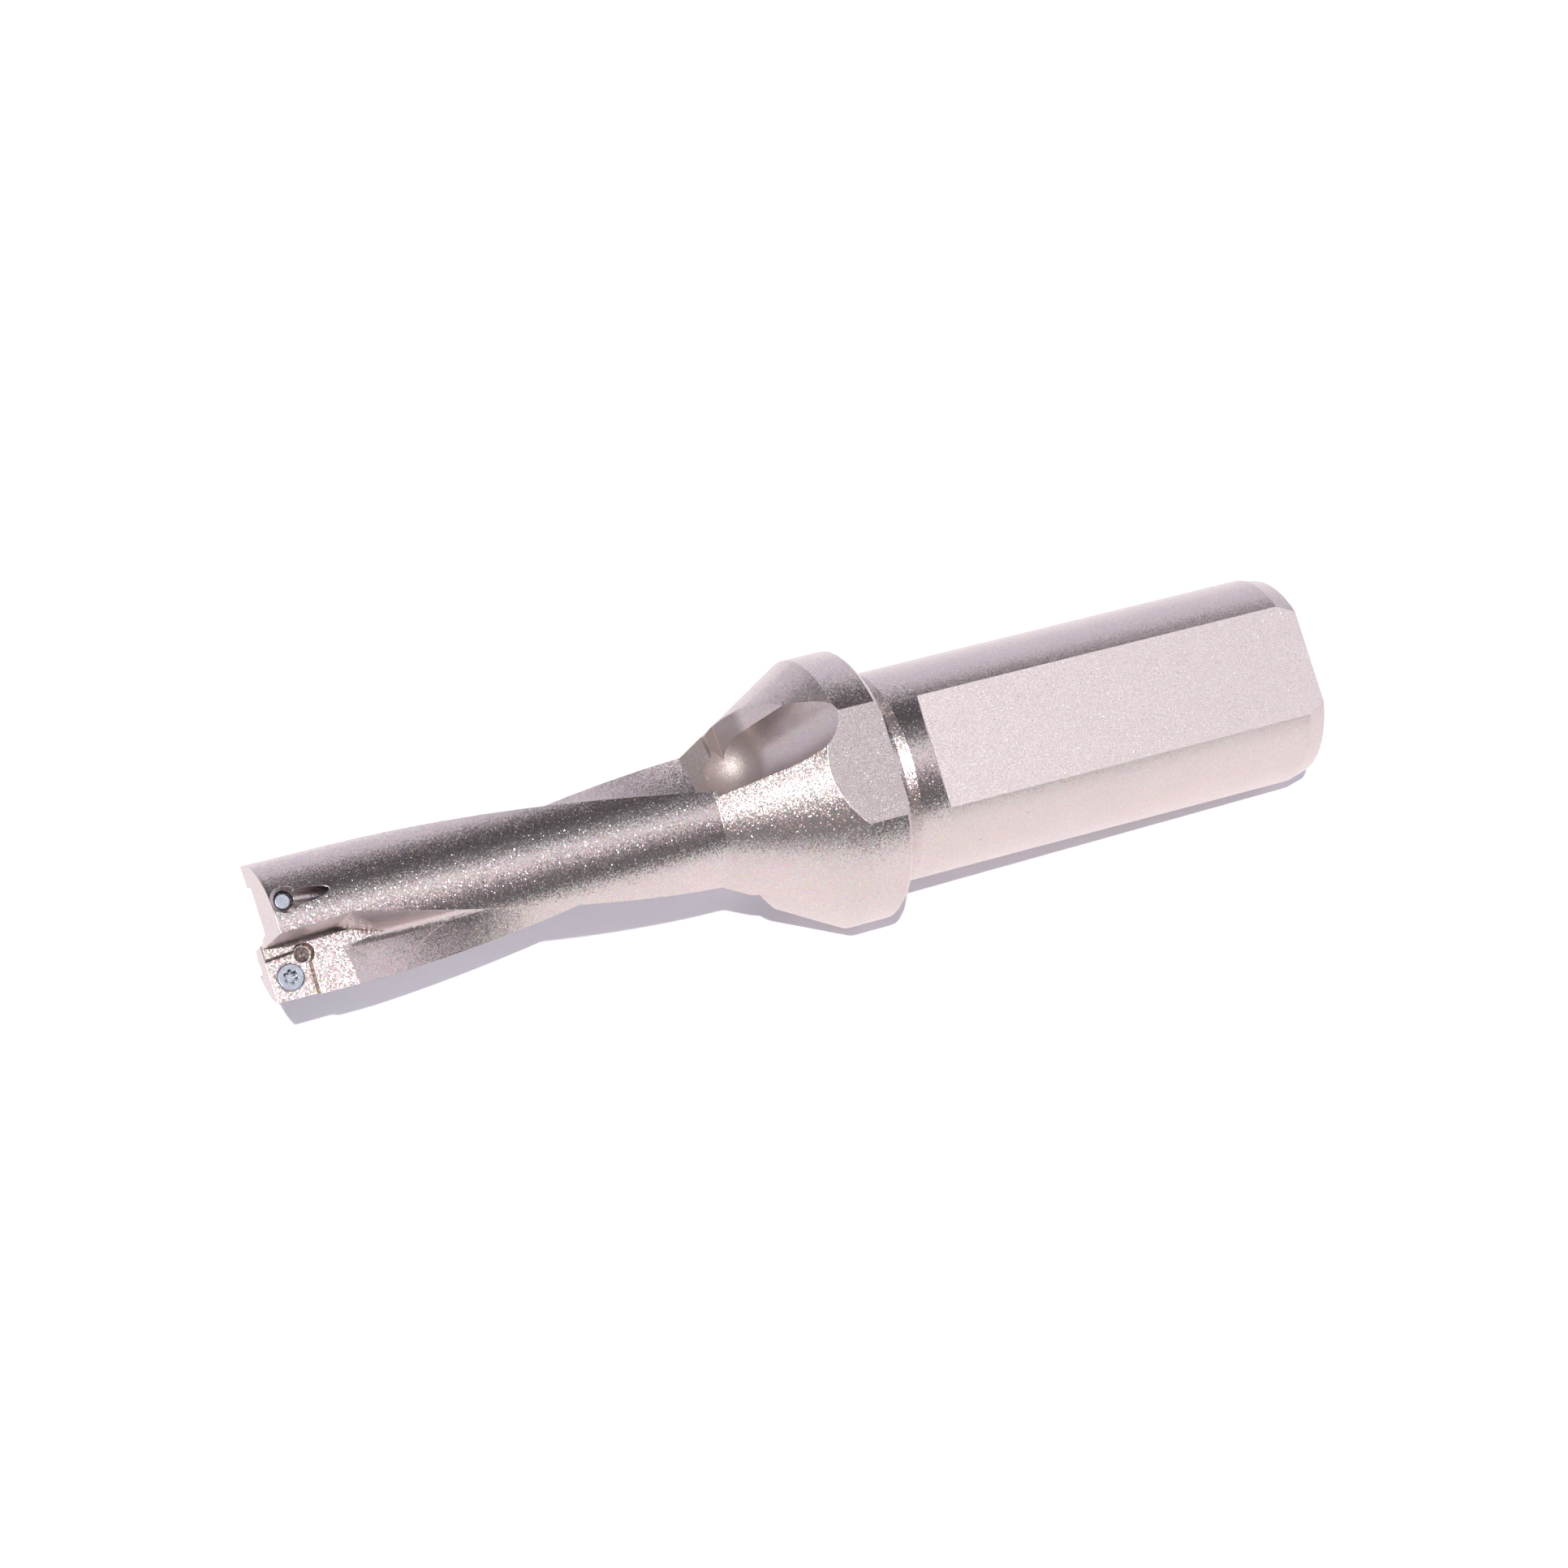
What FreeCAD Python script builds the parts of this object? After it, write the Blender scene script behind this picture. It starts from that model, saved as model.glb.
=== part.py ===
import FreeCAD, Part
import math
import os

import Sketcher

# Indexable insert drill, millimetres. The drill stands on the rear end of its shank:
# the origin is the centre of that end face, +Z runs to the cutting end and the
# clamping flat of the shank faces -Y. The insert pockets are empty, and each clamp
# screw is turned home in its own pocket.

DIMENSIONS = [
    # Shank
    ("shank_diameter", 25.0),
    ("shank_length", 56.0),
    ("lead_in_length", 2.2),
    ("lead_in_depth", 0.58),
    ("clamping_flat_depth", 2.0),
    ("clamping_flat_length", 49.6),
    ("clamping_flat_wall_lean", 25.0),
    ("neck_groove_width", 2.7),
    ("neck_groove_depth", 0.55),
    ("neck_groove_ramp", 1.1),
    # Direction of the turned profile's plane, which leaves its seam beside the flat
    ("turned_seam_direction", -22.5),
    # Collar and the cone in front of it
    ("collar_diameter", 32.0),
    ("collar_length", 5.3),
    ("collar_edge_chamfer", 0.5),
    ("collar_flat_depth", 1.5),
    ("cone_length", 14.5),
    # Fluted body and its roof-shaped end
    ("body_diameter", 16.0),
    ("overall_length", 129.0),
    ("end_slope", 1.7),
    ("central_land_relief", 2.2),
    ("peripheral_land_relief", 1.2),
    # Flutes: one profile, twisted and moved outwards from its top towards the shank
    ("flute_top_depth", 9.0),
    ("flute_end_height", 72.6),
    ("flute_lead", 229.0),
    ("flute_taper", 1.2),
    ("flute_wall_angle", 61.3),
    ("flute_floor_angle", 36.3),
    ("flute_floor_distance", 1.5),
    ("flute_corner_radius", 1.45),
    ("peripheral_flute_direction", 218.4),
    ("peripheral_flute_wall_distance", 2.25),
    ("central_flute_direction", 38.3),
    ("central_flute_wall_distance", 3.0),
    # Run-out slots where the flutes leave through the cone
    ("runout_radius", 4.3),
    ("runout_side_reach", 3.45),
    ("runout_center_distance", 8.0),
    ("runout_tilt", 30.9),
    ("runout_turn", 33.4),
    ("central_runout_height", 71.2),
    ("central_runout_shift", -9.1),
    ("peripheral_runout_height", 72.05),
    ("peripheral_runout_shift", 1.8),
    ("runout_start_length", 1.0),
    ("runout_side_start_length", 4.0),
    ("runout_front_length", 18.0),
    # Gashes that open the insert pockets
    ("gash_runout_angle", 17.5),
    ("gash_length", 15.4),
    ("peripheral_gash_floor_distance", 1.38),
    ("peripheral_gash_wall_distance", 1.4),
    ("peripheral_gash_wall_lean", 2.4),
    ("peripheral_gash_straight_length", 8.7),
    ("central_gash_floor_distance", 0.4),
    ("central_gash_wall_distance", 1.0),
    ("central_gash_corner_width", 0.8),
    ("central_gash_corner_height", 0.8),
    ("central_gash_lip_height", 5.0),
    ("central_gash_lip_angle", 36.0),
    # Insert pockets, for inserts 2.38 thick with 11 degrees of relief
    ("insert_thickness", 2.38),
    ("insert_relief", 11.0),
    ("insert_lean", 4.6),
    ("pocket_seat_depth", 5.15),
    ("peripheral_pocket_floor", 2.5),
    ("peripheral_pocket_side", 2.4),
    ("central_pocket_floor", 1.75),
    ("central_pocket_side", 4.8),
    ("central_pocket_inner_side", -0.2),
    ("pocket_corner_radius", 1.05),
    ("pocket_corner_shift", 0.5),
    ("pocket_pit_diameter", 1.75),
    ("pocket_pit_depth", 0.35),
    ("drill_point_angle", 118.0),
    # Clamp screws and their holes
    ("screw_diameter", 2.2),
    ("screw_length", 4.95),
    ("screw_head_diameter", 3.1),
    ("screw_head_angle", 60.0),
    ("screw_head_rim", 0.3),
    ("screw_head_edge", 0.12),
    ("screw_tip_chamfer", 0.3),
    ("socket_size", 1.75),
    ("socket_root_diameter", 1.27),
    ("socket_lobe_radius", 0.24),
    ("socket_depth", 0.85),
    ("screw_hole_clearance", 0.03),
    ("screw_head_stand", 0.45),
    ("peripheral_screw_offset", 5.05),
    ("peripheral_screw_depth", 2.7),
    ("central_screw_offset", 2.24),
    ("central_screw_depth", 2.12),
    ("counterbore_diameter", 3.2),
    ("counterbore_floor_distance", 7.1),
    # Coolant channels
    ("coolant_inlet_diameter", 8.5),
    ("coolant_inlet_length", 58.0),
    ("coolant_inlet_chamfer", 0.8),
    ("coolant_inlet_chamfer_angle", 90.0),
    ("coolant_bore_diameter", 2.2),
    ("coolant_fork_depth", 37.0),
    ("coolant_branch_diameter", 1.85),
    ("central_branch_tilt", 13.3),
    ("central_branch_direction", 285.8),
    ("central_branch_length", 35.0),
    ("peripheral_branch_tilt", 10.8),
    ("peripheral_branch_direction", 114.7),
    ("peripheral_branch_length", 42.0),
]

# How far a cutting profile runs past the surface that it cuts
OVERCUT = 2.0
FLUTE_OVERCUT = 3.0
# The least volume that a cut may take away
LEAST_CUT = 1e-4
# Sections that carry each flute's twist
FLUTE_SECTIONS = 7
SOCKET_LOBES = 6
QUARTER_TURN = 90
HALF_TURN = 180
FULL_TURN = 360
# Turns added to a direction before it is reduced, which keep it positive
TURNS_ADDED = 2

doc = FreeCAD.newDocument("IndexableInsertDrill")
sheet = doc.addObject("Spreadsheet::Sheet", "Sizes")
for row, (name, value) in enumerate(DIMENSIONS, start=1):
    sheet.set("A%d" % row, name)
    sheet.set("B%d" % row, str(value))
    sheet.setAlias("B%d" % row, name)
doc.recompute()


class Size:
    """A number together with the formula on the sheet's cells that gives it."""

    def __init__(self, value, formula):
        self.value = value
        self.formula = formula

    def __add__(self, other):
        other = as_size(other)
        return Size(self.value + other.value, "(%s + %s)" % (self.formula, other.formula))

    def __sub__(self, other):
        other = as_size(other)
        return Size(self.value - other.value, "(%s - %s)" % (self.formula, other.formula))

    def __mul__(self, other):
        other = as_size(other)
        return Size(self.value * other.value, "%s * %s" % (self.formula, other.formula))

    def __truediv__(self, other):
        other = as_size(other)
        return Size(self.value / other.value, "%s / (%s)" % (self.formula, other.formula))

    def __neg__(self):
        return Size(-self.value, "(-1 * %s)" % self.formula)


def as_size(number):
    if isinstance(number, Size):
        return number
    return Size(float(number), "%g" % number)


def cell(name):
    """The sheet's cell of that name."""
    return Size(float(sheet.get(name)), "Sizes." + name)


def tangent(angle):
    return Size(math.tan(math.radians(angle.value)), "tan(%s)" % angle.formula)


def sine(angle):
    return Size(math.sin(math.radians(angle.value)), "sin(%s)" % angle.formula)


def cosine(angle):
    return Size(math.cos(math.radians(angle.value)), "cos(%s)" % angle.formula)


def half_turn(angle):
    """The same direction between -180 and 180 degrees."""
    raised = angle + (HALF_TURN + TURNS_ADDED * FULL_TURN)
    value = raised.value % FULL_TURN - HALF_TURN
    return Size(value, "(mod(%s; %d) - %d)" % (raised.formula, FULL_TURN, HALF_TURN))


def bind(thing, prop, amount):
    """Tie a property of an object to the sheet."""
    thing.setExpression(prop, as_size(amount).formula)


def new_body(label):
    body = doc.addObject("PartDesign::Body", label)
    body.Label = label
    return body


def new_sketch(body, name, role, base=(0, 0, 0), yaw=0, pitch=0, roll=0):
    """A sketch on one of the body's origin planes, moved and turned from there."""
    planes = {plane.Role: plane for plane in body.Origin.OriginFeatures}
    sketch = body.newObject("Sketcher::SketchObject", name)
    sketch.AttachmentSupport = [(planes[role], "")]
    sketch.MapMode = "FlatFace"
    places = ["Base.x", "Base.y", "Base.z", "Rotation.Yaw", "Rotation.Pitch", "Rotation.Roll"]
    for place, amount in zip(places, [*base, yaw, pitch, roll]):
        if isinstance(amount, Size):
            bind(sketch, "AttachmentOffset." + place, amount)
    return sketch


def dimension(sketch, kind, where, amount):
    """Add a dimension to the sketch and tie it to the sheet."""
    amount = as_size(amount)
    value = math.radians(amount.value) if kind == "Angle" else amount.value
    index = sketch.addConstraint(Sketcher.Constraint(kind, *where, value))
    bind(sketch, "Constraints[%d]" % index, amount)


def place_point(sketch, element, end, x, y):
    """Dimension one point from the sketch's origin."""
    dimension(sketch, "DistanceX", (-1, 1, element, end), x)
    dimension(sketch, "DistanceY", (-1, 1, element, end), y)


def draw_outline(sketch, points):
    """Closed outline of straight lines, each corner dimensioned from the origin."""
    corners = [(as_size(x), as_size(y)) for x, y in points]
    spots = [FreeCAD.Vector(x.value, y.value, 0) for x, y in corners]
    count = len(spots)
    for index in range(count):
        sketch.addGeometry(Part.LineSegment(spots[index], spots[(index + 1) % count]), False)
    for index in range(count):
        sketch.addConstraint(Sketcher.Constraint("Coincident", index, 2, (index + 1) % count, 1))
    for index, (x, y) in enumerate(corners):
        place_point(sketch, index, 1, x, y)


def draw_circle(sketch, x, y, diameter):
    x = as_size(x)
    y = as_size(y)
    diameter = as_size(diameter)
    center = FreeCAD.Vector(x.value, y.value, 0)
    upright = FreeCAD.Vector(0, 0, 1)
    index = sketch.addGeometry(Part.Circle(center, upright, diameter.value / 2), False)
    dimension(sketch, "Diameter", (index,), diameter)
    place_point(sketch, index, 3, x, y)


def pocket(body, name, sketch, length, back=0, reversed_cut=False, taper=0):
    """Cut the sketch's outline out of the body, on one side or both sides of the sketch."""
    before = body.Shape.Volume
    cut = body.newObject("PartDesign::Pocket", name)
    cut.Profile = sketch
    cut.Reversed = reversed_cut
    bind(cut, "Length", length)
    if back != 0:
        cut.SideType = "Two sides"
        bind(cut, "Length2", back)
    if taper != 0:
        bind(cut, "TaperAngle", taper)
    finish(body, cut, before)
    return cut


def finish(body, cut, before):
    """Recompute, and stop if the cut took nothing away."""
    doc.recompute()
    if cut.Shape.isNull() or cut.Shape.Volume > before - LEAST_CUT:
        raise RuntimeError(cut.Name + " cuts nothing")
    body.Tip = cut


def hole(body, name, sketch, diameter, depth, reversed_cut=False, sink=None, sink_angle=None):
    """Drilled hole with a pointed bottom, and a countersink when one is given."""
    doc.recompute()
    before = body.Shape.Volume
    cut = body.newObject("PartDesign::Hole", name)
    cut.Profile = sketch
    doc.recompute()
    cut.ThreadType = "None"
    cut.Reversed = reversed_cut
    cut.DepthType = "Dimension"
    cut.DrillPoint = "Angled"
    bind(cut, "Diameter", diameter)
    bind(cut, "Depth", depth)
    bind(cut, "DrillPointAngle", cell("drill_point_angle"))
    if sink is not None:
        cut.HoleCutType = "Countersink"
        cut.HoleCutCustomValues = True
        bind(cut, "HoleCutDiameter", sink)
        bind(cut, "HoleCutCountersinkAngle", sink_angle)
    finish(body, cut, before)
    return cut


def revolve(body, name, sketch):
    turned = body.newObject("PartDesign::Revolution", name)
    turned.Profile = sketch
    turned.ReferenceAxis = (sketch, ["V_Axis"])
    doc.recompute()


def turned_blank(body):
    """Shank, neck groove, collar, cone and body as one turned profile."""
    shank = cell("shank_diameter") / 2
    collar = cell("collar_diameter") / 2
    core = cell("body_diameter") / 2
    collar_rear = cell("shank_length")
    collar_front = collar_rear + cell("collar_length")
    groove_rear = collar_rear - cell("neck_groove_width")
    groove_radius = shank - cell("neck_groove_depth")
    chamfer = cell("collar_edge_chamfer")
    sketch = new_sketch(body, "TurnedProfile", "XZ_Plane", pitch=cell("turned_seam_direction"))
    draw_outline(sketch, [
        (0, 0),
        (shank - cell("lead_in_depth"), 0),
        (shank, cell("lead_in_length")),
        (shank, groove_rear),
        (groove_radius, groove_rear + cell("neck_groove_ramp")),
        (groove_radius, collar_rear),
        (collar - chamfer, collar_rear),
        (collar, collar_rear + chamfer),
        (collar, collar_front),
        (core, collar_front + cell("cone_length")),
        (core, cell("overall_length") + OVERCUT),
        (0, cell("overall_length") + OVERCUT),
    ])
    revolve(body, "TurnedBlank", sketch)


def flats(body):
    """Clamping flat of the shank, open at the rear, and the flat across the collar."""
    half = cell("collar_diameter") / 2
    near = cell("clamping_flat_depth") - cell("shank_diameter") / 2
    far = -(cell("shank_diameter") / 2 + OVERCUT)
    top = cell("clamping_flat_length")
    rise = (near - far) * tangent(cell("clamping_flat_wall_lean"))
    shank_flat = new_sketch(body, "ClampingFlatProfile", "YZ_Plane")
    draw_outline(shank_flat, [(near, -OVERCUT), (near, top), (far, top + rise), (far, -OVERCUT)])
    pocket(body, "ClampingFlat", shank_flat, half, back=half)

    near = cell("collar_flat_depth") - half
    far = -(half + OVERCUT)
    bottom = cell("shank_length") - OVERCUT
    top = cell("shank_length") + cell("collar_length") + cell("cone_length")
    collar_flat = new_sketch(body, "CollarFlatProfile", "YZ_Plane")
    draw_outline(collar_flat, [(near, bottom), (near, top), (far, top), (far, bottom)])
    pocket(body, "CollarFlat", collar_flat, half, back=half)


def flute_top():
    """Height of the flutes' first section, below the cutting end."""
    return cell("overall_length") - cell("flute_top_depth")


def flute_direction(start, height):
    """Direction in which a flute opens at a height, in degrees about the axis."""
    return half_turn(start - (flute_top() - height) * FULL_TURN / cell("flute_lead"))


def flute_section(body, name, start, wall_distance, height):
    """Wall, rounded corner and floor of a flute in one plane across the axis.

    The sketch's X axis points the way the flute opens.
    """
    wall_angle = cell("flute_wall_angle")
    floor_angle = cell("flute_floor_angle")
    radius = cell("flute_corner_radius")
    floor_distance = cell("flute_floor_distance")
    reach = cell("body_diameter") / 2 + FLUTE_OVERCUT
    shift = (flute_top() - height) * tangent(cell("flute_taper"))
    direction = flute_direction(start, height)
    sketch = new_sketch(
        body, name, "XY_Plane",
        base=(shift * cosine(direction), shift * sine(direction), height), yaw=direction,
    )
    # Unit vectors along the wall and the floor, and away from the flute at each of them
    wall = math.radians(wall_angle.value)
    floor = -math.radians(floor_angle.value)
    along_wall = FreeCAD.Vector(math.cos(wall), math.sin(wall), 0)
    along_floor = FreeCAD.Vector(math.cos(floor), math.sin(floor), 0)
    wall_side = FreeCAD.Vector(math.sin(wall), -math.cos(wall), 0)
    floor_side = FreeCAD.Vector(math.sin(floor), -math.cos(floor), 0)
    # The corner's centre lies one radius inside both lines
    in_wall = wall_distance.value + radius.value
    in_floor = floor_distance.value - radius.value
    cross = wall_side.x * floor_side.y - wall_side.y * floor_side.x
    center = FreeCAD.Vector(
        (in_wall * floor_side.y - in_floor * wall_side.y) / cross,
        (in_floor * wall_side.x - in_wall * floor_side.x) / cross,
        0,
    )
    wall_start = center - wall_side * radius.value
    floor_start = center + floor_side * radius.value

    def outer_end(start_point, along):
        before = start_point.dot(along)
        aside = start_point.Length ** 2 - before ** 2
        return start_point + along * (math.sqrt(reach.value ** 2 - aside) - before)

    wall_end = outer_end(wall_start, along_wall)
    floor_end = outer_end(floor_start, along_floor)
    upright = FreeCAD.Vector(0, 0, 1)
    outer_circle = Part.Circle(FreeCAD.Vector(0, 0, 0), upright, reach.value)
    corner_circle = Part.Circle(center, upright, radius.value)
    outer_from = math.atan2(floor_end.y, floor_end.x)
    outer_to = math.atan2(wall_end.y, wall_end.x)
    wall_line = sketch.addGeometry(Part.LineSegment(wall_start, wall_end), False)
    outer = sketch.addGeometry(Part.ArcOfCircle(outer_circle, outer_from, outer_to), False)
    floor_line = sketch.addGeometry(Part.LineSegment(floor_start, floor_end), False)
    corner = sketch.addGeometry(
        Part.ArcOfCircle(corner_circle, wall + math.pi / 2, floor + 3 * math.pi / 2), False
    )
    sketch.addConstraint([
        Sketcher.Constraint("Tangent", wall_line, 1, corner, 1),
        Sketcher.Constraint("Tangent", floor_line, 1, corner, 2),
        Sketcher.Constraint("Coincident", wall_line, 2, outer, 2),
        Sketcher.Constraint("Coincident", floor_line, 2, outer, 1),
        Sketcher.Constraint("Coincident", outer, 3, -1, 1),
    ])
    dimension(sketch, "Radius", (corner,), radius)
    dimension(sketch, "Radius", (outer,), reach)
    dimension(sketch, "Angle", (wall_line,), wall_angle)
    dimension(sketch, "Angle", (floor_line,), -floor_angle)
    dimension(sketch, "Distance", (-1, 1, wall_line), wall_distance)
    dimension(sketch, "Distance", (-1, 1, floor_line), floor_distance)
    return sketch


def flute(body, name, start, wall_distance):
    """One chip flute, lofted through twisted sections from its top to its run-out."""
    before = body.Shape.Volume
    top = flute_top()
    step = (top - cell("flute_end_height")) / (FLUTE_SECTIONS - 1)
    sections = []
    for index in range(FLUTE_SECTIONS):
        height = top - step * index
        label = "%sSection%d" % (name, index)
        sections.append(flute_section(body, label, start, wall_distance, height))
    loft = body.newObject("PartDesign::SubtractiveLoft", name)
    loft.Profile = sections[0]
    loft.Sections = sections[1:]
    finish(body, loft, before)


def runout_sketch(body, name, flute_name):
    """Sketch across a run-out slot: X sideways, Y up from the slot's bottom."""
    height = cell(flute_name + "_runout_height")
    distance = cell("runout_center_distance")
    start = cell(flute_name + "_flute_direction")
    place = half_turn(flute_direction(start, height) + cell(flute_name + "_runout_shift"))
    return new_sketch(
        body, name, "XY_Plane",
        base=(distance * cosine(place), distance * sine(place), height),
        yaw=half_turn(place + QUARTER_TURN - cell("runout_turn")),
        roll=cell("runout_tilt") + QUARTER_TURN,
    )


def runout(body, flute_name):
    """Round slot with a ball-shaped start, where a flute leaves through the cone.

    A flat floor beside the slot starts farther towards the tip.
    """
    name = flute_name.capitalize() + "Runout"
    radius = cell("runout_radius")
    width = cell("collar_diameter") / 2
    front = cell("runout_front_length")
    start = cell("runout_start_length")
    sketch = runout_sketch(body, name + "Profile", flute_name)
    circle = Part.Circle(FreeCAD.Vector(0, 0, 0), FreeCAD.Vector(0, 0, 1), radius.value)
    arc = sketch.addGeometry(Part.ArcOfCircle(circle, -math.pi, 0), False)
    spots = [(radius, as_size(0)), (radius, width), (-radius, width), (-radius, as_size(0))]
    vectors = [FreeCAD.Vector(x.value, y.value, 0) for x, y in spots]
    lines = []
    for first, second in zip(vectors, vectors[1:]):
        lines.append(sketch.addGeometry(Part.LineSegment(first, second), False))
    sketch.addConstraint(Sketcher.Constraint("Coincident", arc, 3, -1, 1))
    sketch.addConstraint(Sketcher.Constraint("Coincident", arc, 2, lines[0], 1))
    for first, second in zip(lines, lines[1:]):
        sketch.addConstraint(Sketcher.Constraint("Coincident", first, 2, second, 1))
    sketch.addConstraint(Sketcher.Constraint("Coincident", lines[-1], 2, arc, 1))
    for line, (x, y) in zip(lines, spots):
        place_point(sketch, line, 1, x, y)
    dimension(sketch, "DistanceY", (-1, 1, arc, 1), 0)
    pocket(body, name, sketch, front, back=start, reversed_cut=True)

    before = body.Shape.Volume
    ball = body.newObject("PartDesign::SubtractiveSphere", name + "Ball")
    ball.AttachmentSupport = [(sketch, "")]
    ball.MapMode = "ObjectXY"
    bind(ball, "Radius", radius)
    bind(ball, "AttachmentOffset.Base.z", -start)
    finish(body, ball, before)

    reach = cell("runout_side_reach")
    side = Size(
        -math.sqrt(radius.value ** 2 - reach.value ** 2),
        "(-1 * sqrt(%s ^ 2 - %s ^ 2))" % (radius.formula, reach.formula),
    )
    side_sketch = runout_sketch(body, name + "SideProfile", flute_name)
    draw_outline(side_sketch, [(0, side), (width, side), (width, width), (0, width)])
    pocket(
        body, name + "Side", side_sketch, front,
        back=cell("runout_side_start_length"), reversed_cut=True,
    )


def peripheral_gash(body):
    """Flat-floored opening in front of the peripheral insert."""
    top = cell("overall_length")
    straight = cell("peripheral_gash_straight_length")
    lean = tangent(cell("peripheral_gash_wall_lean"))
    wall = cell("peripheral_gash_wall_distance")
    outside = cell("body_diameter") / 2 + OVERCUT
    bend = wall - straight * lean
    end = bend + (cell("gash_length") - straight) * tangent(cell("gash_runout_angle"))
    floor = cell("peripheral_gash_floor_distance")
    sketch = new_sketch(body, "PeripheralGashProfile", "XZ_Plane", base=(0, 0, -floor))
    draw_outline(sketch, [
        (-(wall + lean * OVERCUT), top + OVERCUT),
        (-bend, top - straight),
        (-end, top - cell("gash_length")),
        (-outside, top - cell("gash_length")),
        (-outside, top + OVERCUT),
    ])
    pocket(body, "PeripheralGash", sketch, floor + outside, reversed_cut=True)


def central_gash(body):
    """Opening in front of the central insert, which leans away from the axis downwards."""
    angle = cell("gash_runout_angle")
    level = cosine(angle)
    wall = cell("central_gash_wall_distance")
    floor = cell("central_gash_floor_distance")
    outside = cell("body_diameter") / 2 + OVERCUT
    foot = cell("central_gash_corner_width") - wall
    lip = cell("central_gash_lip_height")
    lip_run = (outside - lip) / tangent(cell("central_gash_lip_angle"))
    sketch = new_sketch(
        body, "CentralGashProfile", "XY_Plane",
        base=(0, 0, cell("overall_length")), pitch=-angle,
    )
    draw_outline(sketch, [
        (-((wall + lip_run) * level), outside),
        (-(wall * level), lip),
        (-(wall * level), cell("central_gash_corner_height") - floor),
        (foot * level, -floor),
        (outside, -floor),
        (outside, outside),
    ])
    pocket(body, "CentralGash", sketch, cell("gash_length"), back=outside)


def insert_pocket(body, name, side, floor, floor_sign, outline):
    """Seat of one insert with its corner relief and the drilled pit in that corner.

    floor_sign is 1 where the seat faces -Y and -1 where it faces +Y.
    """
    base = (0, 0, floor * -floor_sign)
    facing_front = floor_sign > 0
    relief = cell("insert_relief")
    shift = cell("pocket_corner_shift")
    seat = new_sketch(body, name + "SeatProfile", "XZ_Plane", base=base)
    draw_outline(seat, outline)
    pocket(
        body, name + "Seat", seat, cell("insert_thickness"),
        reversed_cut=facing_front, taper=relief,
    )
    corner_x = (side + shift) * -1 if facing_front else side - shift
    corner_z = cell("overall_length") - cell("pocket_seat_depth") + shift
    corner = new_sketch(body, name + "CornerProfile", "XZ_Plane", base=base)
    draw_circle(corner, corner_x, corner_z, cell("pocket_corner_radius") * 2)
    pocket(
        body, name + "Corner", corner, cell("insert_thickness"),
        reversed_cut=facing_front, taper=relief,
    )
    pit = new_sketch(body, name + "PitProfile", "XZ_Plane", base=base)
    draw_circle(pit, corner_x, corner_z, cell("pocket_pit_diameter"))
    hole(
        body, name + "Pit", pit, cell("pocket_pit_diameter"), cell("pocket_pit_depth"),
        reversed_cut=not facing_front,
    )


def insert_pockets(body):
    top = cell("overall_length") + OVERCUT
    bottom = cell("overall_length") - cell("pocket_seat_depth")
    widening = (cell("pocket_seat_depth") + OVERCUT) * tangent(cell("insert_lean"))
    outside = cell("body_diameter") / 2 + OVERCUT
    side = cell("peripheral_pocket_side")
    outline = [(-side, bottom), (-(side + widening), top), (-outside, top), (-outside, bottom)]
    insert_pocket(body, "Peripheral", side, cell("peripheral_pocket_floor"), 1, outline)
    side = cell("central_pocket_side")
    inner = cell("central_pocket_inner_side")
    outline = [(side, bottom), (side + widening, top), (inner, top), (inner, bottom)]
    insert_pocket(body, "Central", side, cell("central_pocket_floor"), -1, outline)


def screw_hole(body, name, x, z, floor, floor_sign):
    """Through hole of a clamp screw with the countersink that its head seats in."""
    clearance = cell("screw_hole_clearance") * 2
    above = cell("screw_head_stand") - cell("screw_head_rim")
    half_angle = tangent(cell("screw_head_angle") / 2)
    sink = cell("screw_head_diameter") - above * half_angle * 2
    sketch = new_sketch(body, name + "Center", "XZ_Plane", base=(0, 0, floor * -floor_sign))
    draw_circle(sketch, x, z, cell("screw_diameter"))
    hole(
        body, name, sketch, cell("screw_diameter") + clearance, cell("body_diameter") / 2,
        reversed_cut=floor_sign < 0, sink=sink, sink_angle=cell("screw_head_angle"),
    )


def screw_holes(body):
    top = cell("overall_length")
    screw_hole(
        body, "PeripheralScrewHole", -cell("peripheral_screw_offset"),
        top - cell("peripheral_screw_depth"), cell("peripheral_pocket_floor"), 1,
    )
    center_x = cell("central_screw_offset")
    center_z = top - cell("central_screw_depth")
    screw_hole(body, "CentralScrewHole", center_x, center_z, cell("central_pocket_floor"), -1)
    outside = cell("body_diameter") / 2 + OVERCUT
    sketch = new_sketch(body, "CounterboreCenter", "XZ_Plane", base=(0, 0, outside))
    draw_circle(sketch, center_x, center_z, cell("counterbore_diameter"))
    depth = outside - cell("counterbore_floor_distance")
    hole(body, "Counterbore", sketch, cell("counterbore_diameter"), depth)


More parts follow.
